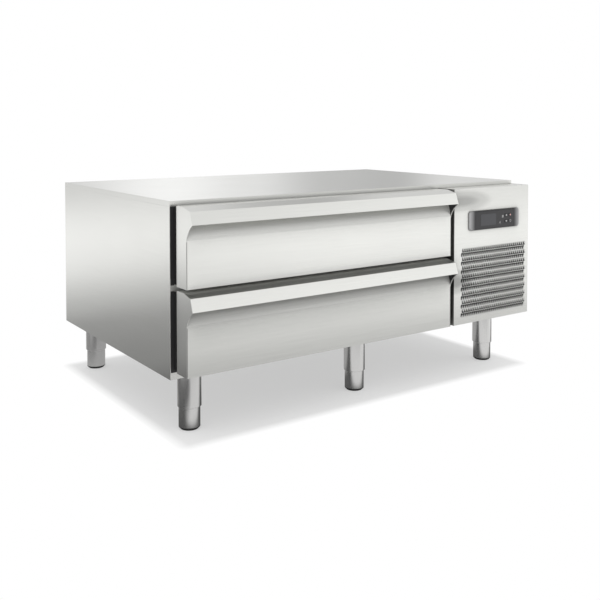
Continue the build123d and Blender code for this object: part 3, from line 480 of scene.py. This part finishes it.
def make_floor():
    """Plain pale floor: white to the camera away from the cabinet, and it keeps the shadow."""
    mesh = bpy.data.meshes.new("floor")
    corners = [(FLOOR_HALF * x, FLOOR_HALF * y, 0) for x, y in ((-1, -1), (1, -1), (1, 1), (-1, 1))]
    mesh.from_pydata(corners, [], [(0, 1, 2, 3)])
    floor = bpy.data.objects.new("floor", mesh)
    floor.location = (0, 0, -FLOOR_DROP)
    bpy.context.scene.collection.objects.link(floor)
    material, g, shader = new_material("floor")
    out = material.node_tree.nodes["Material Output"]
    material.node_tree.nodes.remove(shader)
    x, y, _ = g.split("ShaderNodeNewGeometry", "Position")
    away = g.length(outside(g, x, SHADOW_HALF_X),
                    outside(g, g.maths("SUBTRACT", y, SHADOW_MID_Y), SHADOW_HALF_Y))
    matt = g.add("ShaderNodeBsdfDiffuse", Color=grey(FLOOR_TONE))
    white = g.add("ShaderNodeEmission", Color=grey(1.0), Strength=1.0)
    mirrored = g.add("ShaderNodeEmission", Color=mirrored_floor(g, x, y), Strength=1.0)
    share = g.spread(g.fade(away, 0.0, SHADOW_FADE), SHADOW_SHARE, 1.0)
    final = by_ray(g, matt, mirrored, g.mix_shaders(share, matt, white))
    g.put(out.inputs["Surface"], final.outputs[0])
    mesh.materials.append(material)


# What polished faces mirror above the horizon, by height, and by direction up to a height.
SKY = [(0.0, 1.0), (0.20, 1.0), (0.33, 1.04), (0.46, 0.88), (1.0, 0.92)]
SKY_TURN = [(0.10, 0.70), (0.145, 1.02), (0.175, 0.84), (0.205, 0.56), (0.232, 0.50),
            (0.25, 0.76), (0.30, 0.72), (0.50, 0.95), (0.73, 1.0), (0.84, 0.96)]
TURN_FADES = (0.46, 0.62)     # the heights between which the direction stops to count
HIGH_SKY = 0.80
WORLD_LIGHT = 0.72


def make_world():
    """White to the camera, an even light on the object, and soft gradients in what it mirrors."""
    world = bpy.data.worlds.new("studio")
    bpy.context.scene.world = world
    world.use_nodes = True
    world.node_tree.nodes.clear()
    g = Graph(world.node_tree)
    x, y, z = g.split("ShaderNodeTexCoord", "Generated")
    turn = g.maths("DIVIDE", g.maths("ABSOLUTE", g.maths("ARCTAN2", x, y)), math.pi)
    high = g.ramp(z, tones(zip(TURN_FADES, (0.0, 1.0))))
    around = g.mix(high, g.ramp(turn, tones(SKY_TURN)), grey(HIGH_SKY))
    sky = g.mix(1.0, g.ramp(z, tones(SKY)), around, "MULTIPLY")
    light, mirrored, white = [
        g.add("ShaderNodeBackground", Color=colour, Strength=strength)
        for colour, strength in ((grey(1.0), WORLD_LIGHT), (sky, 1.0), (grey(1.0), 1.0))]
    out = g.add("ShaderNodeOutputWorld")
    g.put(out.inputs["Surface"], by_ray(g, light, mirrored, white).outputs[0])


# Two large soft lamps, one above the front left and a low fill from the right: place, aim,
# size and watts.
LAMPS = {"key": ((-1.2, -1.6, 3.0), (0.0, 0.0, 0.3), 2.6, 26.0),
         "fill": ((2.6, -2.0, 1.8), (0.2, 0.0, 0.3), 2.2, 10.0)}


def make_lamps():
    """Area lamps that light the object and don't show in what it mirrors."""
    for name, (place, aim, size, watts) in LAMPS.items():
        data = bpy.data.lights.new(name, "AREA")
        data.shape = "SQUARE"
        data.size = size
        data.energy = watts
        lamp = bpy.data.objects.new(name, data)
        lamp.location = place
        lamp.visible_glossy = False
        direction = Vector(aim) - Vector(place)
        lamp.rotation_euler = direction.to_track_quat("-Z", "Y").to_euler()
        bpy.context.scene.collection.objects.link(lamp)


def new_piece(name, mesh, material, body):
    """Link a mesh as a piece that rides on a body."""
    piece = bpy.data.objects.new(name, mesh)
    bpy.context.scene.collection.objects.link(piece)
    mesh.materials.append(material)
    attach(piece, body)
    return piece


def mesh_from(name, build):
    """A mesh filled by a function that works on a bmesh."""
    mesh = bpy.data.meshes.new(name)
    work = bmesh.new()
    build(work)
    bmesh.ops.recalc_face_normals(work, faces=work.faces)
    work.to_mesh(mesh)
    work.free()
    return mesh


def filled_outline(name, outlines, depth):
    """A flat plate with holes: outlines are loops of (x, z), the first is the outer one."""
    curve = bpy.data.curves.new(name, "CURVE")
    curve.dimensions = "2D"
    curve.fill_mode = "BOTH"
    curve.extrude = depth / 2
    for points in outlines:
        spline = curve.splines.new("POLY")
        spline.points.add(len(points) - 1)
        for point, (x, z) in zip(spline.points, points):
            point.co = (x, z, 0.0, 1.0)
        spline.use_cyclic_u = True
    holder = bpy.data.objects.new(name, curve)
    bpy.context.scene.collection.objects.link(holder)
    bpy.context.view_layer.update()
    mesh = bpy.data.meshes.new_from_object(holder)
    bpy.data.objects.remove(holder)
    mesh.transform(Matrix.Rotation(math.radians(90.0), 4, "X"))
    return mesh


ROUND_STEPS = 4


def rounded_outline(x0, z0, x1, z1, radius):
    """A rectangle with round corners."""
    centres = [(x1 - radius, z1 - radius), (x0 + radius, z1 - radius),
               (x0 + radius, z0 + radius), (x1 - radius, z0 + radius)]
    points = []
    for quarter, (cx, cz) in enumerate(centres):
        for step in range(ROUND_STEPS + 1):
            angle = math.pi / 2 * (quarter + step / ROUND_STEPS)
            points.append((cx + radius * math.cos(angle), cz + radius * math.sin(angle)))
    return points


def add_plate(name, outlines, surface_y, thick, material, body):
    """A thin flat piece that lies on a surface and faces the front."""
    mesh = filled_outline(name, outlines, thick)
    mesh.transform(Matrix.Translation((0.0, surface_y - thick / 2, 0.0)))
    return new_piece(name, mesh, material, body)


# The front faces of the drawers and the technical front lie this far before the drawer tubs.
FACE_TO_TUB = 57.0 * mm

# The punched field of the technical front: rows of small scales over dark openings. The mouths
# of each pair of rows face each other.
SCALE_ROWS = 16
SCALE_COLUMNS = 30
FIELD_RIGHT = 13.0 * mm       # field to the right end of the front
FIELD_W = 282.0 * mm
FIELD_LOW = 20.0 * mm         # field to the lower end of the front
ROW_PITCH = 12.75 * mm
HOLE_W = 8.5 * mm
HOLE_L = 11.8 * mm
HOLE_CORNER = 2.0 * mm
MOUTH_WEB = 0.8 * mm          # sheet left between two mouths
TONGUE_W = 3.9 * mm
TONGUE_ROOT = 1.15            # width at the root, as a share of TONGUE_W
TONGUE_TAPER = 0.45           # lost from the root to the tip
TONGUE_L = 8.2 * mm
TONGUE_RISE = 1.9 * mm
TONGUE_CROWN = 0.9 * mm
TONGUE_T = 0.6 * mm
TONGUE_STEPS = 4              # along the tongue, and across it
SHEET = 0.8 * mm
BEZEL_SEAT = 5.0 * mm         # the bezel laps over its cut-out
BACKING_GAP = 4.0 * mm         # sheet to the black backing
BACKING_DEPTH = 5.0 * mm
BACKING_PLEAT = 4.0 * mm


def scale_places(low, high):
    """The closed end of each scale's opening, and the way it opens."""
    pitch = FIELD_W / (SCALE_COLUMNS + 0.5)
    x0 = high.x - FIELD_RIGHT - FIELD_W
    z0 = low.z + FIELD_LOW
    places = []
    for row in range(SCALE_ROWS):
        odd = row % 2
        way = -1 if odd else 1
        mouth = z0 + ROW_PITCH * (row + 1 - odd) - way * MOUTH_WEB / 2
        for column in range(SCALE_COLUMNS):
            x = x0 + pitch * (column + 0.5 + 0.5 * odd)
            places.append((x, mouth - way * HOLE_L, way))
    return places


def scale_opening(x, z, way):
    """The opening below a scale: a rectangle with cut corners."""
    half, cut = HOLE_W / 2, HOLE_CORNER
    corners = [(half - cut, 0), (half, cut), (half, HOLE_L - cut), (half - cut, HOLE_L)]
    corners += [(-along, up) for along, up in reversed(corners)]
    points = [(x + along, z + way * up) for along, up in corners]
    return points if way < 0 else points[::-1]


def add_strip(work, first, second):
    """Faces between two rows of as many vertices."""
    for part in range(len(first) - 1):
        work.faces.new((first[part], first[part + 1], second[part + 1], second[part]))


def add_scale(work, x, z, way, face_y):
    """A raised tongue, rooted at the closed end of its opening."""
    def layer(back):
        rows = []
        for step in range(TONGUE_STEPS + 1):
            t = step / TONGUE_STEPS
            half = TONGUE_W / 2 * (TONGUE_ROOT - TONGUE_TAPER * t * t)
            rise = TONGUE_RISE * math.sin(t * math.pi / 2)
            up = z + way * (TONGUE_L * t - MOUTH_WEB / 2)
            row = []
            for part in range(TONGUE_STEPS + 1):
                u = 2 * part / TONGUE_STEPS - 1
                crown = TONGUE_CROWN * math.sqrt(t) * (1 - u * u)
                row.append(work.verts.new((x + half * u, face_y - rise - crown + back, up)))
            rows.append(row)
        return rows

    front, rear = layer(0.0), layer(TONGUE_T)
    for rows in (front, rear):
        for first, second in zip(rows[:-1], rows[1:]):
            add_strip(work, first, second)
    for end in (0, -1):
        add_strip(work, [row[end] for row in front], [row[end] for row in rear])
    for end in (0, -1):
        add_strip(work, front[end], rear[end])


def add_box(work, low, high):
    """The six faces of a box."""
    corners = [work.verts.new((x, y, z)) for x in (low[0], high[0]) for y in (low[1], high[1])
               for z in (low[2], high[2])]
    for loop in ((0, 1, 3, 2), (4, 6, 7, 5), (0, 4, 5, 1), (2, 3, 7, 6), (0, 2, 6, 4),
                 (1, 5, 7, 3)):
        work.faces.new([corners[index] for index in loop])


def make_technical_front(materials):
    """Folded front with its punched field, in place of the plainer CAD panel."""
    low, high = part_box("technical_front")
    face_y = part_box("upper_drawer_tub")[0].y - FACE_TO_TUB
    places = scale_places(low, high)
    bezel_low, bezel_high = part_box("controller_bezel")
    left, right = bezel_low.x + BEZEL_SEAT, bezel_high.x - BEZEL_SEAT
    bottom, top = bezel_low.z + BEZEL_SEAT, bezel_high.z - BEZEL_SEAT
    outlines = [[(low.x, low.z), (high.x, low.z), (high.x, high.z), (low.x, high.z)],
                [(left, bottom), (right, bottom), (right, top), (left, top)]]
    outlines += [scale_opening(*place) for place in places]
    plate = filled_outline("plate", outlines, SHEET)
    plate.transform(Matrix.Translation((0.0, face_y + SHEET / 2, 0.0)))

    def build(work):
        work.from_mesh(plate)
        for x, z, way in places:
            add_scale(work, x, z, way, face_y)
        for x0, z0, x1, z1 in ((low.x, low.z, low.x + SHEET, high.z),
                               (high.x - SHEET, low.z, high.x, high.z),
                               (low.x, low.z, high.x, low.z + SHEET),
                               (low.x, high.z - SHEET, high.x, high.z)):
            add_box(work, (x0, face_y + SHEET, z0), (x1, high.y, z1))

    mesh = mesh_from("technical_front_skin", build)
    piece = new_piece("technical_front_skin", mesh, materials["panel_stainless"], "cabinet")
    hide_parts("technical_front")


def make_shade_backing(materials):
    """A pleated black pad close behind the punched field: a dark sheet of painted shade that
    darkens the openings.
    """
    low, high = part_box("technical_front")
    front_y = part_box("upper_drawer_tub")[0].y - FACE_TO_TUB + SHEET + BACKING_GAP
    x0 = high.x - FIELD_RIGHT - FIELD_W - BACKING_PLEAT
    z0 = low.z + FIELD_LOW - BACKING_PLEAT
    z1 = low.z + FIELD_LOW + ROW_PITCH * SCALE_ROWS + BACKING_PLEAT
    wide = FIELD_W + 2 * BACKING_PLEAT
    count = 2 * math.ceil(wide / (2 * BACKING_PLEAT))
    outline = [(x0 + min(index * BACKING_PLEAT, wide), front_y + index % 2 * BACKING_DEPTH / 2)
               for index in range(count + 1)]
    outline += [(outline[-1][0], front_y + BACKING_DEPTH), (x0, front_y + BACKING_DEPTH)]

    def build(work):
        low_loop, high_loop = [[work.verts.new((x, y, z)) for x, y in outline] for z in (z0, z1)]
        add_strip(work, low_loop + low_loop[:1], high_loop + high_loop[:1])
        work.faces.new(low_loop)
        work.faces.new(high_loop[::-1])

    new_piece("shade_backing", mesh_from("shade_backing", build), materials["shade_pad"], "cabinet")


# The controller's display area and marks, measured from the lower left of the window.
LCD_X = (22.0 * mm, 88.0 * mm)
LCD_Z = (8.0 * mm, 42.0 * mm)
LCD_CORNER = 2.5 * mm
STAR_PLACE = (106.0 * mm, 13.0 * mm)
BARS_PLACE = (118.0 * mm, 31.0 * mm)
PRINT_T = 0.3 * mm
PRINT_SIZE = 3.4 * mm
PRINT_BAR = 0.7 * mm
STAR_ARMS = 6
BAR_PITCH = 2.6 * mm
BAR_CORNER = 0.5 * mm
ARROW_SHARE = 0.9             # half an arrow's width, as a share of PRINT_SIZE
ARROW_BACK = 0.6              # its back's distance, as a share of its tip's
RING_ROUND = 0.99             # corner radius, as a share of half the ring
LENS_R = 2.6 * mm
LENS_RISE = 1.0 * mm
LENS_SIDES = 12
LENS_PROFILE = ((1.0, 0.0), (0.8, 0.6), (0.45, 0.92))


def arrow_outline(x, z, way):
    """A small triangle that points up or down."""
    half = PRINT_SIZE * ARROW_SHARE
    back = z - way * half * ARROW_BACK
    return [(x - half, back), (x + half, back), (x, z + way * half)]


def star_bars(x, z):
    """Short bars round a point."""
    bars = []
    for turn in range(STAR_ARMS):
        angle = 2 * math.pi / STAR_ARMS * (turn + 0.5)
        along = Vector((math.cos(angle), math.sin(angle)))
        side = Vector((-along.y, along.x)) * PRINT_BAR / 2
        start, end = along * PRINT_BAR, along * PRINT_SIZE
        bars.append([(x + p.x, z + p.y)
                     for p in (start + side, start - side, end - side, end + side)])
    return bars


def bar_stack(x, z):
    """Three level bars, one above another."""
    return [rounded_outline(x - PRINT_SIZE, z + step - PRINT_BAR, x + PRINT_SIZE,
                            z + step + PRINT_BAR, BAR_CORNER)
            for step in (-BAR_PITCH, 0.0, BAR_PITCH)]


def middle_of(low, high):
    """X and Z of the middle of a box."""
    return (low.x + high.x) / 2, (low.z + high.z) / 2


def add_lens(name, key, material):
    """A low round lens in the middle of a key."""
    low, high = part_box(key)
    x, z = middle_of(low, high)

    def build(work):
        rings = []
        for share, rise in LENS_PROFILE:
            ring = []
            for part in range(LENS_SIDES):
                angle = 2 * math.pi / LENS_SIDES * part
                ring.append(work.verts.new((x + LENS_R * share * math.cos(angle),
                                            low.y - LENS_RISE * rise,
                                            z + LENS_R * share * math.sin(angle))))
            rings.append(ring)
        top = work.verts.new((x, low.y - LENS_RISE, z))
        for first, second in zip(rings[:-1], rings[1:]):
            add_strip(work, first + first[:1], second + second[:1])
        last = rings[-1] + rings[-1][:1]
        for start, end in zip(last[:-1], last[1:]):
            work.faces.new((start, end, top))
        work.faces.new(rings[0][::-1])

    new_piece(name, mesh_from(name, build), material, key)


def make_controller_marks(materials):
    """The display area, generic marks on the window and the keys, and a lamp in one key."""
    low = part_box("display_window")[0]
    pale = materials["pale_print"]
    lcd = rounded_outline(low.x + LCD_X[0], low.z + LCD_Z[0], low.x + LCD_X[1],
                          low.z + LCD_Z[1], LCD_CORNER)
    add_plate("display_glass", [lcd], low.y, PRINT_T, materials["display_glass"], "cabinet")
    marks = star_bars(low.x + STAR_PLACE[0], low.z + STAR_PLACE[1])
    marks += bar_stack(low.x + BARS_PLACE[0], low.z + BARS_PLACE[1])
    add_plate("window_marks", marks, low.y, PRINT_T, pale, "cabinet")
    for key, way in (("key_top_left", 1), ("key_bottom_left", -1)):
        key_low, key_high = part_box(key)
        arrow = arrow_outline(*middle_of(key_low, key_high), way)
        add_plate(key + "_mark", [arrow], key_low.y, PRINT_T, pale, key)
    add_lens("key_top_right_lamp", "key_top_right", materials["red_lens"])
    key_low, key_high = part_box("key_bottom_right")
    x, z = middle_of(key_low, key_high)
    ring = [rounded_outline(x - size, z - size, x + size, z + size, size * RING_ROUND)
            for size in (PRINT_SIZE, PRINT_SIZE - PRINT_BAR)]
    add_plate("key_bottom_right_mark", ring, key_low.y, PRINT_T, pale, "key_bottom_right")


SEAM_W = 1.1 * mm
SEAM_T = 0.25 * mm
SEAM_CORNER = 0.49 * SEAM_W
SEAM_FROM_TOP = 80.0 * mm


def make_front_seams(materials):
    """The folded edge of each front sheet, down both sides of the flat part."""
    for drawer in ("upper", "lower"):
        low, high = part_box(drawer + "_drawer_skin")
        face_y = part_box(drawer + "_drawer_tub")[0].y - FACE_TO_TUB
        strips = [rounded_outline(x, low.z + SEAM_W, x + SEAM_W, high.z - SEAM_FROM_TOP,
                                  SEAM_CORNER)
                  for x in (low.x + SEAM_W / 2, high.x - 1.5 * SEAM_W)]
        add_plate(drawer + "_front_seams", strips, face_y, SEAM_T, materials["seam_shadow"],
                  drawer + "_drawer")


COVER_GAP = 0.4 * mm
COVER_T = 0.8 * mm
COVER_CORNER = 1.0 * mm
COVER_MIDDLE = 7.0 * mm       # half of the bare rail between two covers
COVER_DROP = 1.5 * mm         # the bare part is this far below the rail's middle


def make_mullion_covers(materials):
    """Black covers over the ends of the rail between the drawers, beside the gaskets."""
    rail_low, rail_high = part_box("mullion_rail")
    gasket_low, gasket_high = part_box("upper_gasket")
    middle = (rail_low.z + rail_high.z) / 2 - COVER_DROP
    for side, x0, x1 in (("left", rail_low.x + COVER_GAP, gasket_low.x - COVER_GAP),
                         ("right", gasket_high.x + COVER_GAP, rail_high.x - COVER_GAP)):
        plates = [rounded_outline(x0, z0, x1, z1, COVER_CORNER)
                  for z0, z1 in ((rail_low.z, middle - COVER_MIDDLE),
                                 (middle + COVER_MIDDLE, rail_high.z))]
        add_plate("mullion_cover_" + side, plates, rail_low.y, COVER_T,
                  materials["black_plastic"], "cabinet")


make_camera()
make_world()
make_lamps()
make_floor()
materials = make_materials()
dress(materials)
make_technical_front(materials)
make_shade_backing(materials)
make_controller_marks(materials)
make_front_seams(materials)
make_mullion_covers(materials)

bpy.context.scene.view_settings.view_transform = "Standard"
bpy.context.view_layer.update()
